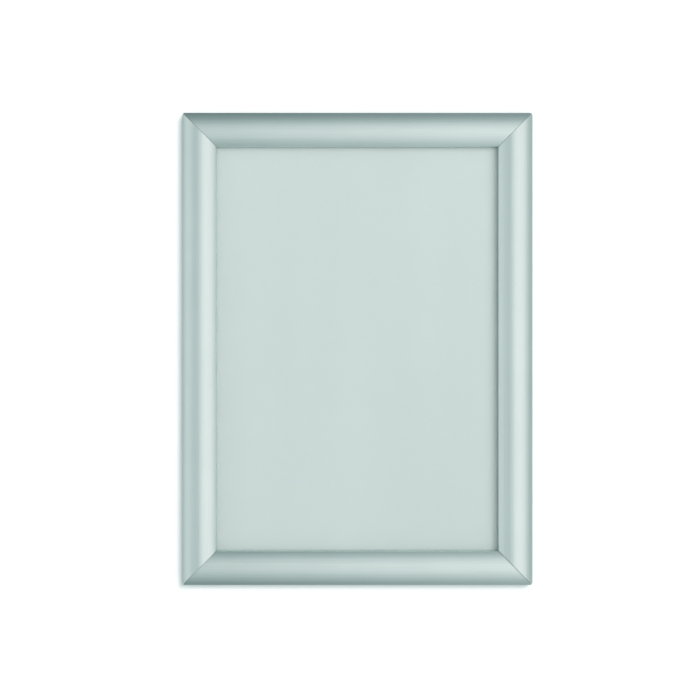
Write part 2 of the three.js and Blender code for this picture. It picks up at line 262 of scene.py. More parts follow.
def across(s):
    """Places across a rail, worked out from its sizes."""
    p = SimpleNamespace()
    p.bore = s.bead + s.bead_clearance
    p.hook = p.bore + s.hook_wall
    p.hinge = Vector((-p.hook * math.cos(s.hook_start), s.floor + s.nose_clearance + s.nose + p.hook))
    p.arch_centre = p.hinge - polar(s.arch - p.hook, s.arch_start)
    p.ledge_edge = s.face - s.ledge_setback
    p.pocket_edge = s.face - s.overlap - s.sheet_play
    p.channel_end = p.pocket_edge - s.pocket_wall
    p.channel_start = BRACKET_BOX[0].z + FRAME_HEIGHT / 2 - s.bracket_play
    p.channel_outer = p.channel_start - s.channel_wall
    p.channel_middle = (p.channel_start + p.channel_end) / 2
    p.lip_under = s.bracket_play - BRACKET_BOX[0].y
    p.lip_top = p.lip_under + s.channel_lip_thickness
    p.groove_top = p.lip_top + s.groove
    p.pocket_top = p.groove_top + s.groove_cap
    p.foot_under = s.foot_gap - COVER_BOX[0].y
    return p


def across_rail(u, v):
    return Vector((0, -v, u))


def on_plate(x, z):
    return Vector((x, 0, z))


def deselect():
    bpy.ops.object.select_all(action="DESELECT")


def add(primitive, **settings):
    """Adds a primitive, a camera or a light, with nothing else selected."""
    deselect()
    primitive(**settings)
    return bpy.context.object


def pick(piece):
    """Makes a piece the one that the next operator acts on."""
    deselect()
    piece.select_set(True)
    bpy.context.view_layer.objects.active = piece


def edit(piece):
    pick(piece)
    bpy.ops.object.mode_set(mode="EDIT")


def leave_edit():
    bpy.ops.object.mode_set(mode="OBJECT")


def select_edges(piece, wanted):
    """Selects, in edit mode, the edges that a test picks out."""
    bpy.ops.mesh.select_mode(type="EDGE")
    bpy.ops.mesh.select_all(action="DESELECT")
    shape = bmesh.from_edit_mesh(piece.data)
    for edge in shape.edges:
        if wanted(edge):
            edge.select_set(True)
    shape.select_flush_mode()
    bmesh.update_edit_mesh(piece.data)


def merge(distance):
    """Merges points within a distance of each other, in edit mode."""
    bpy.ops.mesh.select_all(action="SELECT")
    bpy.ops.mesh.remove_doubles(threshold=distance)


def face_outwards():
    """Turns all faces outwards, in edit mode."""
    bpy.ops.mesh.select_all(action="SELECT")
    bpy.ops.mesh.normals_make_consistent(inside=False)


def pull(step):
    """Extrudes what is selected by a step, in edit mode."""
    bpy.ops.mesh.extrude_region_move(TRANSFORM_OT_translate={"value": step})


def is_sharp(edge, limit=EASED_ABOVE):
    return len(edge.link_faces) == 2 and edge.calc_face_angle() > limit


def ease(piece, wanted, offset, segments=2):
    """Bevels the edges that a test picks out."""
    edit(piece)
    select_edges(piece, wanted)
    bpy.ops.mesh.bevel(offset=offset, segments=segments, affect="EDGES", clamp_overlap=True)
    leave_edit()


class Outline:
    """An outline drawn from one corner: straight stretches are extruded, and round ones are spun."""

    def __init__(self, name, start, place, axis):
        self.place = place
        self.axis = axis
        self.at = Vector(start)
        self.piece = add(bpy.ops.mesh.primitive_plane_add, size=TOUCH, location=place(*start))
        bpy.ops.object.transform_apply(location=True)
        self.piece.name = name
        self.piece.data.name = name
        bpy.ops.object.mode_set(mode="EDIT")
        bpy.ops.mesh.select_mode(type="VERT")
        bpy.ops.mesh.select_all(action="SELECT")
        bpy.ops.mesh.merge(type="CENTER")

    def to(self, *points):
        for point in points:
            step = self.place(*point) - self.place(*self.at)
            pull(step)
            self.at = Vector(point)

    def round(self, centre, turn, steps):
        """Goes on round a centre, anticlockwise where the turn is positive."""
        centre = Vector(centre)
        bpy.ops.mesh.spin(steps=steps, angle=turn, center=self.place(*centre), axis=self.axis)
        self.at = Matrix.Rotation(turn, 2) @ (self.at - centre) + centre

    def extrude(self, start, step):
        """Closes the outline, fills it and extrudes it from one place to another."""
        merge(TOUCH)
        bpy.ops.mesh.edge_face_add()
        bpy.ops.transform.translate(value=start)
        pull(step)
        face_outwards()
        leave_edit()
        return self.piece


def cut(point, normal):
    """Saws through the mesh in edit mode, drops what lies beyond the plane and closes the cut."""
    bpy.ops.mesh.select_all(action="SELECT")
    bpy.ops.mesh.bisect(plane_co=point, plane_no=normal, use_fill=True, clear_outer=True, threshold=TOUCH)


def smooth(piece):
    """Shades curves smooth, and keeps narrow eased edges from bending the shading of wide faces."""
    pick(piece)
    bpy.ops.object.shade_smooth_by_angle(angle=SMOOTH_BELOW)
    modifier = piece.modifiers.new("shading", "WEIGHTED_NORMAL")
    modifier.keep_sharp = True
    bpy.ops.object.modifier_apply(modifier=modifier.name)


def copied(source, name, matrix=Matrix.Identity(4)):
    """A copy with its own mesh, with its place applied to the mesh."""
    piece = bpy.data.objects.new(name, source.data.copy())
    piece.data.name = name
    bpy.context.scene.collection.objects.link(piece)
    piece.matrix_world = matrix
    pick(piece)
    bpy.ops.object.transform_apply(location=True, rotation=True, scale=True)
    return piece


def remove(piece):
    pick(piece)
    bpy.ops.object.delete()


def cut_out(piece, cutter):
    """Cuts one piece out of another and removes the cutter."""
    pick(piece)
    modifier = piece.modifiers.new("cut", "BOOLEAN")
    modifier.operation = "DIFFERENCE"
    modifier.solver = "EXACT"
    modifier.object = cutter
    bpy.ops.object.modifier_apply(modifier=modifier.name)
    remove(cutter)


def drill(piece, steps, radius, wall, place):
    """Drills a hole from the front through a wall of this thickness."""
    drill_bit = add(
        bpy.ops.mesh.primitive_cylinder_add,
        vertices=steps,
        radius=radius,
        depth=DRILL_LENGTH * wall,
        location=place,
        rotation=(QUARTER, 0, 0),
    )
    cut_out(piece, drill_bit)


def finish_piece(piece, material, node, body="base"):
    """Gives a piece its finish, the node that it stands for and its body."""
    smooth(piece)
    piece.data.materials.clear()
    piece.data.materials.append(material)
    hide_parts(node)
    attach(piece, body)


def place_copy(model, matrix, material, node, body="base"):
    """Copies a model into the place of a node, as a finished piece."""
    finish_piece(copied(model, "finished_" + node, matrix), material, node, body)


def side_matrix(side):
    turn, _, half = SIDES[side]
    return Matrix.Rotation(turn, 4, "Y") @ Matrix.Translation((0, 0, -half))


def flip_section(s, p):
    """The flip rail's section: hook, arched skin, lip and foot."""
    edge_u = s.face - s.edge - p.arch_centre.x
    edge_reach = s.arch - s.edge
    edge_centre = p.arch_centre + Vector((edge_u, math.sqrt(edge_reach**2 - edge_u**2)))
    edge_angle = math.acos(edge_u / edge_reach)
    inner = s.arch - s.skin
    inside_u = s.face - s.lip
    inside_angle = math.acos((inside_u - p.arch_centre.x) / inner)
    reach = s.arch - p.hook
    meet = s.arch_start - math.acos((inner**2 - reach**2 - p.hook**2) / (2 * reach * p.hook))
    meet_place = p.hinge + polar(p.hook, meet) - p.arch_centre
    meet_angle = math.atan2(meet_place.y, meet_place.x)
    nose_top = s.hook_tail + s.nose_width
    foot_top = p.foot_under + s.foot_thickness

    outline = Outline("flip_rail", p.hinge + polar(p.hook, s.hook_start), across_rail, -ALONG)
    outline.round(p.hinge, s.arch_start - s.hook_start, s.corner_steps // 2)
    outline.round(p.arch_centre, edge_angle - s.arch_start, s.arch_steps)
    outline.round(edge_centre, -edge_angle, s.corner_steps)
    outline.to((s.face, p.foot_under), (s.face - s.foot, p.foot_under), (s.face - s.foot, foot_top))
    outline.to((inside_u, foot_top), p.arch_centre + polar(inner, inside_angle))
    outline.round(p.arch_centre, meet_angle - inside_angle, s.arch_steps)
    outline.round(p.hinge, nose_top - meet, s.ring_steps // 2)
    outline.to(p.hinge + polar(p.hook + s.nose, nose_top))
    outline.round(p.hinge, -s.nose_width, s.corner_steps // 2)
    outline.to(p.hinge + polar(p.bore, s.hook_tail))
    outline.round(p.hinge, s.hook_start - s.hook_tail, s.ring_steps)
    outline.to(p.hinge + polar(p.hook, s.hook_start))
    return outline


def base_section(s, p):
    """The base rail's section: ledge, sheet pocket, spring groove, bracket channel, bead and flange."""
    neck = s.neck / 2
    neck_angle = math.asin(neck / s.bead)
    inner_lip = p.channel_end - s.channel_lip
    outer_lip = p.channel_start + s.channel_lip
    cap = p.channel_end - s.groove_reach

    outline = Outline("base_rail", (0, 0), across_rail, -ALONG)
    outline.to((p.ledge_edge, 0), (p.ledge_edge, s.floor), (p.pocket_edge, s.floor))
    outline.to((p.pocket_edge, p.pocket_top), (cap, p.pocket_top), (cap, p.groove_top))
    outline.to((p.channel_end, p.groove_top), (p.channel_end, p.lip_top), (inner_lip, p.lip_top))
    outline.to((inner_lip, p.lip_under), (p.channel_end, p.lip_under), (p.channel_end, s.floor))
    outline.to((p.channel_start, s.floor), (p.channel_start, p.lip_under), (outer_lip, p.lip_under))
    outline.to((outer_lip, p.lip_top), (p.channel_outer, p.lip_top), (p.channel_outer, s.floor))
    outline.to((p.hinge.x + neck, s.floor), p.hinge + polar(s.bead, neck_angle - QUARTER))
    outline.round(p.hinge, 4 * QUARTER - 2 * neck_angle, s.ring_steps)
    outline.to((p.hinge.x - neck, s.floor), (s.flange, s.floor), (s.flange, s.flange_height))
    outline.to((0, s.flange_height), (0, 0))
    return outline


def blank(outline, size, offset):
    """A length of extrusion with its long edges eased."""
    rail = outline.extrude(-ALONG * size / 2, ALONG * size)
    ease(rail, lambda e: is_sharp(e) and abs((e.verts[0].co - e.verts[1].co).x) > size / 2, offset)
    return rail


def blunt_tip(s, size, end):
    """Rounds this rail's half of the frame's outer corner."""
    half_facet = QUARTER / 4 / s.corner_steps
    for step in range(s.corner_steps):
        direction = -QUARTER - half_facet * (2 * step + 1)
        place = polar(s.tip * math.cos(half_facet), direction) + Vector((s.tip, s.tip))
        normal = polar(1, direction)
        cut((end * (size / 2 - place.x), 0, place.y), (-end * normal.x, 0, normal.y))


def mitre_cut(s, size, end, gap, slack):
    """One end's cut, a point and a normal: its gap back from the mitre, and its slack more at the window."""
    point = Vector((end * (size / 2 - gap * math.sqrt(2)), 0, 0))
    lean = slack / (s.face * math.sqrt(2))
    return point, (Vector((end, 0, 1)) + lean * Vector((-end, 0, 1))).normalized()


def on_cut(edge, point, normal):
    return all(abs((v.co - point).dot(normal)) < NEAR for v in edge.verts)


def saw_rail(rail, s, p, size, gap, swings, slacks=(0, 0)):
    """Saws both ends to the mitre at each step of the rail's swing, and eases the cuts' front edges."""
    hinge = across_rail(*p.hinge)
    cuts = [mitre_cut(s, size, end, gap, slack) for end, slack in zip(ENDS, slacks)]
    edit(rail)
    for end, (point, normal) in zip(ENDS, cuts):
        for swing in swings:
            turned = Matrix.Rotation(-swing, 3, "X")
            cut(turned @ (point - hinge) + hinge, turned @ normal)
        blunt_tip(s, size, end)
    face_outwards()
    leave_edit()

    def on_front(edge):
        front = min(-v.co.y for v in edge.verts) > s.sawn_front
        return front and is_sharp(edge) and any(on_cut(edge, *place) for place in cuts)

    ease(rail, on_front, s.sawn_edge)
    edit(rail)
    merge(NEAR)
    leave_edit()


def drill_wall_holes(rail, s, p, size):
    """Drills and chamfers the two holes for wall screws."""
    radius = s.wall_hole / 2
    middle = Vector((size / 2 - s.wall_hole_inset, p.channel_middle))
    for end in ENDS:
        drill(rail, 2 * s.ring_steps, radius, s.floor, (end * middle.x, 0, middle.y))

    def round_hole(edge):
        reaches = [(Vector((abs(v.co.x), v.co.z)) - middle).length for v in edge.verts]
        return is_sharp(edge) and all(abs(reach - radius) < NEAR for reach in reaches)

    ease(rail, round_hole, s.wall_hole_edge, segments=1)


# Nearly all of a noise lies between these two values
NOISE_LOW = 0.3
NOISE_HIGH = 0.7
NOISE_ROUGHNESS = 0.55
# The part of a full turn from a rail's length to the way in which its grain scatters light
GRAIN_TURN = 0.25


class Finish:
    """A material built round one shader, with patterns on the object's own coordinates."""

    def __init__(self, name, base, metallic=0.0):
        self.material = bpy.data.materials.new(name)
        self.material.use_nodes = True
        self.tree = self.material.node_tree
        self.shader = self.tree.nodes["Principled BSDF"]
        self.base = base
        self.set("Base Color", (*base, 1))
        self.set("Metallic", metallic)
        self.coordinates = self.node("ShaderNodeTexCoord").outputs["Object"]

    def node(self, kind, **settings):
        made = self.tree.nodes.new(kind)
        for name, value in settings.items():
            setattr(made, name, value)
        return made

    def link(self, source, target):
        self.tree.links.new(source, target)

    def set(self, socket, value):
        self.shader.inputs[socket].default_value = value

    def noise(self, scale, detail, shift=(0, 0, 0)):
        """Noise with its own scale, per metre, along each axis."""
        mapping = self.node("ShaderNodeMapping")
        mapping.inputs["Scale"].default_value = scale
        mapping.inputs["Location"].default_value = shift
        pattern = self.node("ShaderNodeTexNoise")
        pattern.inputs["Scale"].default_value = 1
        pattern.inputs["Detail"].default_value = detail
        pattern.inputs["Roughness"].default_value = NOISE_ROUGHNESS
        self.link(self.coordinates, mapping.inputs["Vector"])
        self.link(mapping.outputs["Vector"], pattern.inputs["Vector"])
        return pattern.outputs["Fac"]

    def ranged(self, value, low, high, start=NOISE_LOW, end=NOISE_HIGH):
        """Spreads a pattern between two values."""
        spread = self.node("ShaderNodeMapRange")
        for socket, number in (("From Min", start), ("From Max", end), ("To Min", low), ("To Max", high)):
            spread.inputs[socket].default_value = number
        self.link(value, spread.inputs["Value"])
        return spread.outputs["Result"]

    def joined(self, operation, patterns):
        """Multiplies or adds patterns."""
        total = patterns[0]
        for pattern in patterns[1:]:
            both = self.node("ShaderNodeMath", operation=operation)
            self.link(total, both.inputs[0])
            self.link(pattern, both.inputs[1])
            total = both.outputs["Value"]
        return total

    def shade(self, *tones):
        """Multiplies the base colour by patterns."""
        tint = self.node("ShaderNodeVectorMath", operation="SCALE")
        tint.inputs["Vector"].default_value = self.base
        self.link(self.joined("MULTIPLY", tones), tint.inputs["Scale"])
        self.link(tint.outputs["Vector"], self.shader.inputs["Base Color"])

    def rough(self, pattern):
        self.link(pattern, self.shader.inputs["Roughness"])

    def bump(self, *heights, depth):
        """Adds patterns up to a relief of this depth."""
        relief = self.node("ShaderNodeBump")
        relief.inputs["Distance"].default_value = depth
        self.link(self.joined("ADD", heights), relief.inputs["Height"])
        self.link(relief.outputs["Normal"], self.shader.inputs["Normal"])


def even(scale):
    """The same scale per metre along every axis."""
    return (scale, scale, scale)


def lengthwise(upright, along, crosswise):
    """Scales per metre for a grain that runs along a rail."""
    return (crosswise, crosswise, along) if upright else (along, crosswise, crosswise)


def brushed(name, base, upright, strength):
    """Aluminium that scatters light more across the rail's grain than along it."""
    finish = Finish(name + ("_upright" if upright else "_across"), base, metallic=1.0)
    axis = finish.node("ShaderNodeCombineXYZ")
    axis.inputs["Z" if upright else "X"].default_value = 1
    finish.link(axis.outputs["Vector"], finish.shader.inputs["Tangent"])
    finish.set("Anisotropic", strength)
    finish.set("Anisotropic Rotation", GRAIN_TURN)
    return finish


def anodised(c, upright):
    """Satin anodised aluminium: an etched sheen over fine lengthwise die lines."""
    finish = brushed("anodised", c.anodised, upright, c.grain)
    lines = finish.noise(lengthwise(upright, along=3, crosswise=900), detail=3)
    hairs = finish.noise(lengthwise(upright, along=40, crosswise=7000), detail=2, shift=(0.3, 0.1, 0.2))
    etch = finish.noise(even(5200), detail=2)
    cloud = finish.noise(even(28), detail=3)
    finish.shade(
        finish.ranged(lines, low=0.965, high=1.03),
        finish.ranged(hairs, low=0.965, high=1.03),
        finish.ranged(cloud, low=0.985, high=1.015),
    )
    change = 0.03
    finish.rough(finish.ranged(lines, c.anodised_roughness - change, c.anodised_roughness + change))
    finish.bump(
        finish.ranged(etch, low=0, high=1),
        finish.ranged(lines, low=0, high=0.8),
        finish.ranged(hairs, low=0, high=0.6),
        depth=0.000005,
    )
    return finish.material


def mill_aluminium(c, upright):
    """Bare extrusion: stronger die lines, dull patches from handling."""
    finish = brushed("mill", c.mill, upright, c.grain)
    lines = finish.noise(lengthwise(upright, along=2, crosswise=1400), detail=4)
    patches = finish.noise(even(45), detail=4)
    finish.shade(finish.ranged(patches, low=0.93, high=1.05), finish.ranged(lines, low=0.92, high=1.05))
    brighter = 0.06
    duller = 0.08
    finish.rough(finish.ranged(patches, c.mill_roughness - brighter, c.mill_roughness + duller))
    finish.bump(lines, depth=0.000012)
    return finish.material


def spring_steel(c, upright):
    """Rolled spring steel, faintly blued and smeared with oil."""
    name = "spring_steel_upright" if upright else "spring_steel_across"
    finish = Finish(name, c.spring_steel, metallic=1.0)
    rolled = finish.noise(lengthwise(not upright, along=60, crosswise=1800), detail=3)
    oil = finish.noise(even(160), detail=4)
    finish.shade(finish.ranged(rolled, low=0.9, high=1.06), finish.ranged(oil, low=0.88, high=1.08))
    finish.rough(finish.ranged(oil, low=0.2, high=0.38))
    finish.bump(rolled, depth=0.000006)
    return finish.material


def zinc_plate(c):
    """Bright zinc plating with a fine spangle, rolling marks and dull handled spots."""
    finish = Finish("zinc_plate", c.zinc, metallic=1.0)
    spangle = finish.noise(even(1600), detail=3)
    rolled = finish.noise(lengthwise(upright=True, along=120, crosswise=2400), detail=3)
    dull = finish.noise(even(90), detail=4)
    finish.shade(
        finish.ranged(spangle, low=0.9, high=1.06),
        finish.ranged(rolled, low=0.93, high=1.05),
        finish.ranged(dull, low=0.88, high=1.06),
    )
    finish.rough(finish.ranged(dull, low=0.24, high=0.46))
    finish.bump(spangle, rolled, depth=0.000008)
    return finish.material


def black_oxide(c):
    """Black oxide on steel, rubbed a little in small random spots."""
    finish = Finish("black_oxide", c.black_steel, metallic=0.85)
    rubbed = finish.noise(even(1500), detail=4)
    finish.shade(finish.ranged(rubbed, low=0.7, high=2.4, start=0.4, end=0.75))
    finish.rough(finish.ranged(rubbed, low=0.5, high=0.34))
    finish.bump(rubbed, depth=0.00001)
    return finish.material


def panel_plastic(c):
    """Calendered polystyrene: matt, with a fine pebble and faint broad streaks, which also stand in for
    painted reflection bands.
    """
    finish = Finish("panel_plastic", c.panel)
    pebble = finish.noise(even(2600), detail=3)
    # Broad lengthwise bands of lighter and darker tone: partly streaks in the plastic, partly painted
    # reflection bands
    streaks_and_painted_reflection = finish.noise(lengthwise(upright=True, along=1.5, crosswise=16), detail=2)
    finish.shade(finish.ranged(streaks_and_painted_reflection, low=0.965, high=1.035))
    finish.rough(finish.ranged(pebble, low=0.52, high=0.68))
    finish.bump(pebble, depth=0.00001)
    return finish.material


def cover_plastic(c):
    """Clear anti-glare sheet: a little haze and a fine matt tooth."""
    finish = Finish("cover_plastic", c.cover)
    tooth = finish.noise(even(3800), detail=3)
    haze = finish.noise(even(30), detail=3)
    finish.shade(finish.ranged(haze, low=0.99, high=1.01))
    finish.rough(finish.ranged(tooth, low=0.34, high=0.46))
    finish.bump(tooth, depth=0.000006)
    finish.set("Alpha", c.cover_haze)
    return finish.material


def backdrop(name, paint, glow_level):
    """A matt surface, a little brighter by its own light, and clear from behind."""
    material = bpy.data.materials.new(name)
    material.use_nodes = True
    nodes = material.node_tree.nodes
    link = material.node_tree.links.new
    nodes.clear()
    matt = nodes.new("ShaderNodeBsdfDiffuse")
    matt.inputs["Color"].default_value = (*paint, 1)
    glow = nodes.new("ShaderNodeEmission")
    glow.inputs["Strength"].default_value = glow_level
    lit = nodes.new("ShaderNodeAddShader")
    clear = nodes.new("ShaderNodeBsdfTransparent")
    side = nodes.new("ShaderNodeNewGeometry")
    chosen = nodes.new("ShaderNodeMixShader")
    output = nodes.new("ShaderNodeOutputMaterial")
    link(matt.outputs["BSDF"], lit.inputs[0])
    link(glow.outputs["Emission"], lit.inputs[1])
    link(side.outputs["Backfacing"], chosen.inputs["Fac"])
    link(lit.outputs["Shader"], chosen.inputs[1])
    link(clear.outputs["BSDF"], chosen.inputs[2])
    link(chosen.outputs["Shader"], output.inputs["Surface"])
    return material


# How bright the room is from left to right, from below to above and from front to back: place, level
ROOM_SWEEP = (
    (-1, 0.86), (-0.9, 0.85), (-0.62, 0.63), (-0.25, 0.59), (-0.1, 0.76),
    (0.1, 1.17), (0.6, 1.14), (0.85, 1.07), (1, 0.6),
)
ROOM_RISE = (
    (-1, 0.45), (-0.95, 0.54), (-0.77, 0.71), (-0.4, 0.93),
    (0, 1.03), (0.4, 0.92), (0.8, 0.6), (1, 0.32),
)
ROOM_DEPTH = ((-1, 1), (0, 1), (0.3, 0.6), (0.5, 0.62), (1, 0.95))
# How much less of their green and blue than of their red the room's dimmer parts lose
ROOM_COOLNESS = 0.19


def room(settings):
    """Soft light from the whole room, brightest level with the viewer and dim above and below."""
    world = bpy.data.worlds.new("studio_room")
    bpy.context.scene.world = world
    world.use_nodes = True
    nodes = world.node_tree.nodes
    link = world.node_tree.links.new
    direction = nodes.new("ShaderNodeTexCoord")
    parts = nodes.new("ShaderNodeSeparateXYZ")
    link(direction.outputs["Generated"], parts.inputs["Vector"])

    def levels(value, stops):
        spread = nodes.new("ShaderNodeMapRange")
        spread.inputs["From Min"].default_value = -1
        ramp = nodes.new("ShaderNodeValToRGB")
        ramp.color_ramp.interpolation = "EASE"
        elements = ramp.color_ramp.elements
        while len(elements) < len(stops):
            elements.new(0.5)
        for element, (place, level) in zip(elements, stops):
            element.position = (place + 1) / 2
            cool = level ** (1 - ROOM_COOLNESS)
            element.color = (level, cool, cool, 1)
        link(value, spread.inputs["Value"])
        link(spread.outputs["Result"], ramp.inputs["Fac"])
        return ramp.outputs["Color"]

    level = levels(parts.outputs["X"], ROOM_SWEEP)
    for part, stops in (("Z", ROOM_RISE), ("Y", ROOM_DEPTH)):
        both = nodes.new("ShaderNodeVectorMath")
        both.operation = "MULTIPLY"
        link(level, both.inputs[0])
        link(levels(parts.outputs[part], stops), both.inputs[1])
        level = both.outputs["Vector"]
    link(level, nodes["Background"].inputs["Color"])
    nodes["Background"].inputs["Strength"].default_value = settings.room_level


# The frame's edges in the photograph, which is this many pixels wide and high
PHOTO_PIXELS = 700
PHOTO_LEFT = 182.0
PHOTO_RIGHT = 532.75
PHOTO_TOP = 113.05
PHOTO_BOTTOM = 584.7


class FRAME_OT_stage(bpy.types.Operator):
    """Sets up the camera, the lights, the wall and the floor"""

    bl_idname = "poster_frame.stage"
    bl_label = "Stage"

    def execute(self, context):
        settings = context.scene.poster_stage
        self.camera(context, settings)
        wall = self.surfaces(settings)
        key = self.light("key_light", settings.key_side, settings.key_height, settings.key_spread)
        key.data.energy = settings.key_level
        self.link_light(key, wall, "EXCLUDE")
        wall_key = self.light(
            "wall_light", settings.wall_key_side, settings.wall_key_height, settings.wall_key_spread
        )
        wall_key.data.energy = settings.wall_key_level
        wall_key.data.color = settings.wall_key_colour
        self.link_light(wall_key, wall, "INCLUDE")
        room(settings)
        context.scene.view_settings.view_transform = "Standard"
        return {"FINISHED"}

    def camera(self, context, settings):
        """Looks straight at the wall, with the frame where the photograph has it."""
        rails = context.scene.poster_rails
        places = across(rails)
        # The frame is widest where the hooks reach furthest out
        edge = -places.hinge.y - polar(places.hook, rails.hook_start).y
        scale = ((PHOTO_RIGHT - PHOTO_LEFT) / FRAME_WIDTH + (PHOTO_BOTTOM - PHOTO_TOP) / FRAME_HEIGHT) / 2
        x = (PHOTO_PIXELS - PHOTO_LEFT - PHOTO_RIGHT) / 2 / scale
        z = (PHOTO_TOP + PHOTO_BOTTOM - PHOTO_PIXELS) / 2 / scale
        place = (x, edge - settings.camera_distance, z)
        camera = add(bpy.ops.object.camera_add, location=place, rotation=(QUARTER, 0, 0))
        camera.name = "camera"
        camera.data.lens = camera.data.sensor_width * settings.camera_distance * scale / PHOTO_PIXELS
        context.scene.camera = camera

    def light(self, name, side, height, spread):
        """A large soft light that doesn't show in the metal, where the room's own light does."""
        direction = Matrix.Rotation(side, 3, "Z") @ Vector((0, -math.cos(height), math.sin(height)))
        light = add(bpy.ops.object.light_add, type="SUN", location=direction)
        light.name = name
        light.rotation_euler = direction.to_track_quat("Z", "Y").to_euler()
        light.data.angle = spread
        light.visible_glossy = False
        return light

    def link_light(self, light, wall, state):
        """Makes a light shine on the wall alone, or on all but the wall."""
        lit = bpy.data.collections.new(light.name + "_receivers")
        lit.objects.link(wall)
        lit.collection_objects[0].light_linking.link_state = state
        light.light_linking.receiver_collection = lit

    def surfaces(self, settings):
        plane = bpy.ops.mesh.primitive_plane_add
        behind = (0, settings.wall_gap, 0)
        wall = add(plane, size=settings.wall_size, location=behind, rotation=(QUARTER, 0, 0))
        wall.name = "wall"
        wall.data.materials.append(backdrop("studio_wall", settings.wall_colour, settings.wall_glow))
        for ray in ("diffuse", "glossy", "transmission", "shadow", "volume_scatter"):
            setattr(wall, "visible_" + ray, False)
        floor = add(plane, size=settings.floor_size, location=(0, 0, -settings.floor_level))
        floor.name = "floor"
        floor.data.materials.append(backdrop("studio_floor", settings.floor_colour, settings.floor_glow))
        floor.visible_glossy = False
        return wall


class FRAME_OT_base_rails(bpy.types.Operator):
    """Models the four base rails"""

    bl_idname = "poster_frame.base_rails"
    bl_label = "Base rails"

    def execute(self, context):
        s = context.scene.poster_rails
        c = context.scene.poster_finish
        p = across(s)
        for pair in PAIRS:
            upright = pair == UPRIGHT
            size = SIDES[pair[0]][1]
            rail = blank(base_section(s, p), size, s.eased_edge)
            saw_rail(rail, s, p, size, s.base_gap, [0])
            if not upright:
                drill_wall_holes(rail, s, p, size)
            material = mill_aluminium(c, upright)
            for side in pair:
                place_copy(rail, side_matrix(side), material, "base_rail_" + side)
            remove(rail)
        return {"FINISHED"}


class FRAME_OT_flip_rails(bpy.types.Operator):
    """Models the four sprung flip rails"""

    bl_idname = "poster_frame.flip_rails"
    bl_label = "Flip rails"

    def execute(self, context):
        s = context.scene.poster_rails
        c = context.scene.poster_finish
        p = across(s)
        swings = [QUARTER * step / s.swing_steps for step in range(s.swing_steps + 1)]
        for pair in PAIRS:
            upright = pair == UPRIGHT
            size = SIDES[pair[0]][1]
            extrusion = blank(flip_section(s, p), size, s.eased_edge)
            material = anodised(c, upright)
            for side in pair:
                rail = copied(extrusion, "flip_rail")
                slacks = (s.joint_slack if side == "right" else 0, 0)
                saw_rail(rail, s, p, size, s.flip_gap, swings, slacks)
                node = "flip_rail_" + side
                place_copy(rail, side_matrix(side), material, node, side + "_flap")
                remove(rail)
            remove(extrusion)
        return {"FINISHED"}


class FRAME_OT_springs(bpy.types.Operator):
    """Finishes the spring leaves under the flip rails"""

    bl_idname = "poster_frame.springs"
    bl_label = "Springs"

    def execute(self, context):
        sizes = context.scene.poster_fasteners
        steels = {upright: spring_steel(context.scene.poster_finish, upright) for upright in (False, True)}
        for side in SIDES:
            turned = side_matrix(side)
            for letter in "ab":
                node = "spring_" + side + "_" + letter
                leaf = copied(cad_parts[node], "spring_leaf", turned.inverted())
                self.dress(leaf, sizes)
                place_copy(leaf, turned, steels[side in UPRIGHT], node)
                remove(leaf)
        return {"FINISHED"}

    def dress(self, leaf, sizes):
        """Merges a copied leaf, rounds its four corners and eases its edges."""
        edit(leaf)
        merge(TOUCH)
        bpy.ops.mesh.tris_convert_to_quads()
        leave_edit()
        points = [vertex.co for vertex in leaf.data.vertices]
        ends = [[points[i] for i in edge.vertices] for edge in leaf.data.edges]
        short = CORNER_MARGIN * min((a - b).length for a, b in ends)

        def at_corner(edge):
            return is_sharp(edge) and edge.calc_length() < short and all_sharp(edge)

        ease(leaf, at_corner, sizes.spring_corner, sizes.corner_steps)
        ease(leaf, is_sharp, sizes.spring_edge, segments=1)


def all_sharp(edge):
    """True where every edge that meets this one is sharp too, as at the corner of a plate."""
    return all(is_sharp(other) for vertex in edge.verts for other in vertex.link_edges)


class FRAME_OT_corner_brackets(bpy.types.Operator):
    """Models the four corner brackets"""

    bl_idname = "poster_frame.corner_brackets"
    bl_label = "Corner brackets"

    def execute(self, context):
        sizes = context.scene.poster_fasteners
        material = zinc_plate(context.scene.poster_finish)
        bracket = self.stamped(sizes)
        ease(bracket, is_sharp, sizes.bracket_edge, segments=3)
        for corner, side in CORNERS.items():
            turn = Matrix.Rotation(SIDES[side][0], 4, "Y")
            place = turn @ Matrix.Translation(self.outer_corner(side))
            place_copy(bracket, place, material, "corner_bracket_" + corner)
        remove(bracket)
        return {"FINISHED"}

    def outer_corner(self, side):
        """The bracket's outer corner, before its side is turned into place."""
        _, size, half = SIDES[side]
        inset = BRACKET_BOX[0].z + FRAME_HEIGHT / 2
        return (inset - size / 2, BRACKET_BOX[1].y, inset - half)

    def stamped(self, sizes):
        """An L of flat steel with a hole in each leg, drawn from its outer corner."""
        leg = BRACKET_BOX[1].z - BRACKET_BOX[0].z
        corner = sizes.bracket_corner
        far = leg - corner
        near = sizes.bracket_width - corner
        bend = sizes.bracket_width + sizes.bracket_bend
        outline = Outline("bracket", (0, 0), on_plate, -OUT)
        for start, centre, turn in (
            ((far, 0), (far, corner), QUARTER),
            ((leg, near), (far, near), QUARTER),
            ((bend, sizes.bracket_width), (bend, bend), -QUARTER),
            ((sizes.bracket_width, far), (near, far), QUARTER),
            ((corner, leg), (corner, far), QUARTER),
        ):
            outline.to(start)
            outline.round(centre, turn, sizes.corner_steps)
        outline.to((0, 0))
        thickness = BRACKET_BOX[1].y - BRACKET_BOX[0].y
        plate = outline.extrude(Vector(), OUT * thickness)
        for letter in "ab":
            low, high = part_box("set_screw_bottom_left_" + letter)
            middle = (low + high) / 2
            radius = (high.x - low.x) / 2 + sizes.screw_clearance
            place = on_plate(middle.x - BRACKET_BOX[0].x, middle.z - BRACKET_BOX[0].z)
            drill(plate, sizes.round_steps, radius, thickness, place)
        return plate


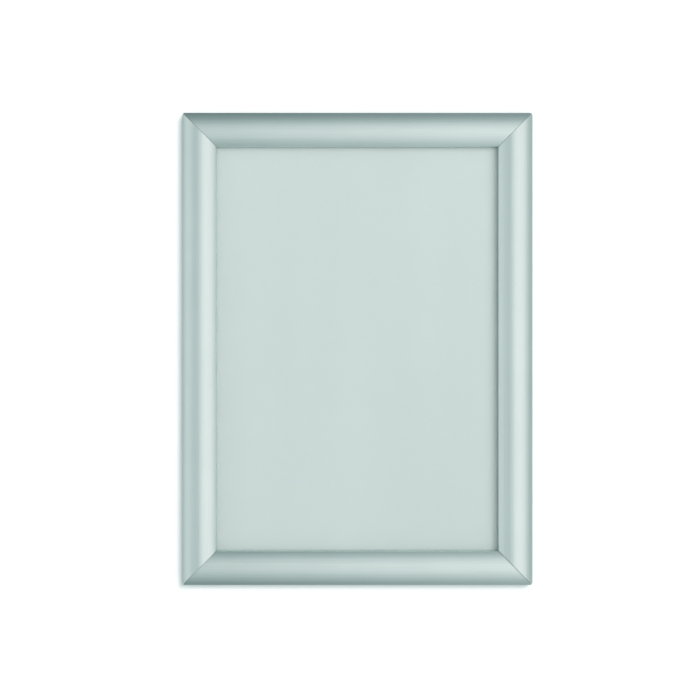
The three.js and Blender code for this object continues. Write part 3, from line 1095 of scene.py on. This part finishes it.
class FRAME_OT_set_screws(bpy.types.Operator):
    """Models the eight set screws"""

    bl_idname = "poster_frame.set_screws"
    bl_label = "Set screws"

    def execute(self, context):
        sizes = context.scene.poster_fasteners
        material = black_oxide(context.scene.poster_finish)
        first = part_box("set_screw_bottom_left_a")
        screw = self.turned(sizes, (first[1].x - first[0].x) / 2, first[1].y - first[0].y)
        for corner in CORNERS:
            for letter in "ab":
                node = "set_screw_" + corner + "_" + letter
                low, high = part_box(node)
                place = Matrix.Translation(((low.x + high.x) / 2, high.y, (low.z + high.z) / 2))
                place_copy(screw, place, material, node)
        remove(screw)
        return {"FINISHED"}

    def turned(self, sizes, radius, depth):
        """A headless screw with a thread, a chamfered end and a hexagon socket."""
        cylinder = bpy.ops.mesh.primitive_cylinder_add
        start = sizes.thread_pitch / 2
        middle = (0, 0, start / 2)
        screw = add(cylinder, vertices=sizes.round_steps, radius=radius, depth=start, location=middle)
        bpy.ops.object.transform_apply(location=True)
        edit(screw)
        self.select_top(screw)
        threaded = depth - start - sizes.screw_chamfer
        turns = int(threaded / sizes.thread_pitch)
        root = 1 - sizes.thread_depth / radius
        step = threaded / (2 * turns)
        for _ in range(turns):
            self.next_ring(step, root)
            self.next_ring(step, 1 / root)
        self.next_ring(sizes.screw_chamfer, 1 - sizes.screw_chamfer / radius)
        face_outwards()
        leave_edit()
        socket = sizes.socket / 2 / math.cos(math.pi / SOCKET_SIDES)
        sunk = 2 * sizes.socket_depth
        top = (0, 0, depth)
        cut_out(screw, add(cylinder, vertices=SOCKET_SIDES, radius=socket, depth=sunk, location=top))
        screw.rotation_euler = (QUARTER, 0, 0)
        pick(screw)
        bpy.ops.object.transform_apply(rotation=True)
        return screw

    def select_top(self, screw):
        bpy.ops.mesh.select_mode(type="FACE")
        bpy.ops.mesh.select_all(action="DESELECT")
        shape = bmesh.from_edit_mesh(screw.data)
        top = max(shape.faces, key=lambda face: face.calc_center_median().z)
        top.select_set(True)
        bmesh.update_edit_mesh(screw.data)

    def next_ring(self, rise, scale):
        pull((0, 0, rise))
        bpy.ops.transform.resize(value=(scale, scale, 1))


def model_sheet(node, sizes, edge, material):
    """Models a flat sheet with rounded corners and eased edges, as large as its node."""
    low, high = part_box(node)
    piece = add(bpy.ops.mesh.primitive_plane_add, size=1, rotation=(QUARTER, 0, 0))
    piece.name = "finished_" + node
    piece.data.name = piece.name
    piece.scale = (high.x - low.x, high.z - low.z, 1)
    piece.location = ((low.x + high.x) / 2, high.y, (low.z + high.z) / 2)
    bpy.ops.object.transform_apply(location=True, rotation=True, scale=True)
    edit(piece)
    bpy.ops.mesh.select_all(action="SELECT")
    bpy.ops.mesh.bevel(offset=sizes.sheet_corner, segments=sizes.sheet_steps, affect="VERTICES")
    bpy.ops.mesh.select_all(action="SELECT")
    pull(OUT * (high.y - low.y))
    face_outwards()
    leave_edit()
    ease(piece, lambda e: is_sharp(e, SHEET_EASED_ABOVE), edge)
    finish_piece(piece, material, node)


class FRAME_OT_back_panel(bpy.types.Operator):
    """Models the back panel"""

    bl_idname = "poster_frame.back_panel"
    bl_label = "Back panel"

    def execute(self, context):
        sizes = context.scene.poster_fasteners
        material = panel_plastic(context.scene.poster_finish)
        model_sheet("back_panel", sizes, sizes.panel_edge, material)
        return {"FINISHED"}


class FRAME_OT_cover_sheet(bpy.types.Operator):
    """Models the clear cover sheet"""

    bl_idname = "poster_frame.cover_sheet"
    bl_label = "Cover sheet"

    def execute(self, context):
        sizes = context.scene.poster_fasteners
        material = cover_plastic(context.scene.poster_finish)
        model_sheet("cover_sheet", sizes, sizes.cover_edge, material)
        return {"FINISHED"}


OPERATORS = (
    FRAME_OT_stage,
    FRAME_OT_base_rails,
    FRAME_OT_flip_rails,
    FRAME_OT_springs,
    FRAME_OT_corner_brackets,
    FRAME_OT_set_screws,
    FRAME_OT_back_panel,
    FRAME_OT_cover_sheet,
)


class FRAME_PT_build(bpy.types.Panel):
    """Lists the frame's pieces, to be made one by one"""

    bl_label = "Poster frame"
    bl_idname = "FRAME_PT_build"
    bl_space_type = "VIEW_3D"
    bl_region_type = "UI"
    bl_category = "Poster frame"

    def draw(self, context):
        for operator in OPERATORS:
            self.layout.operator(operator.bl_idname)


SETTINGS = {
    "poster_rails": RailSizes,
    "poster_fasteners": FastenerSizes,
    "poster_finish": FinishColours,
    "poster_stage": StageSettings,
}


def register():
    for name, group in SETTINGS.items():
        bpy.utils.register_class(group)
        setattr(bpy.types.Scene, name, PointerProperty(type=group))
    for made in (*OPERATORS, FRAME_PT_build):
        bpy.utils.register_class(made)


def unregister():
    for made in reversed((*OPERATORS, FRAME_PT_build)):
        bpy.utils.unregister_class(made)
    for name, group in SETTINGS.items():
        delattr(bpy.types.Scene, name)
        bpy.utils.unregister_class(group)


def main():
    register()
    for operator in OPERATORS:
        group, name = operator.bl_idname.split(".")
        getattr(getattr(bpy.ops, group), name)()


if __name__ == "__main__":
    main()
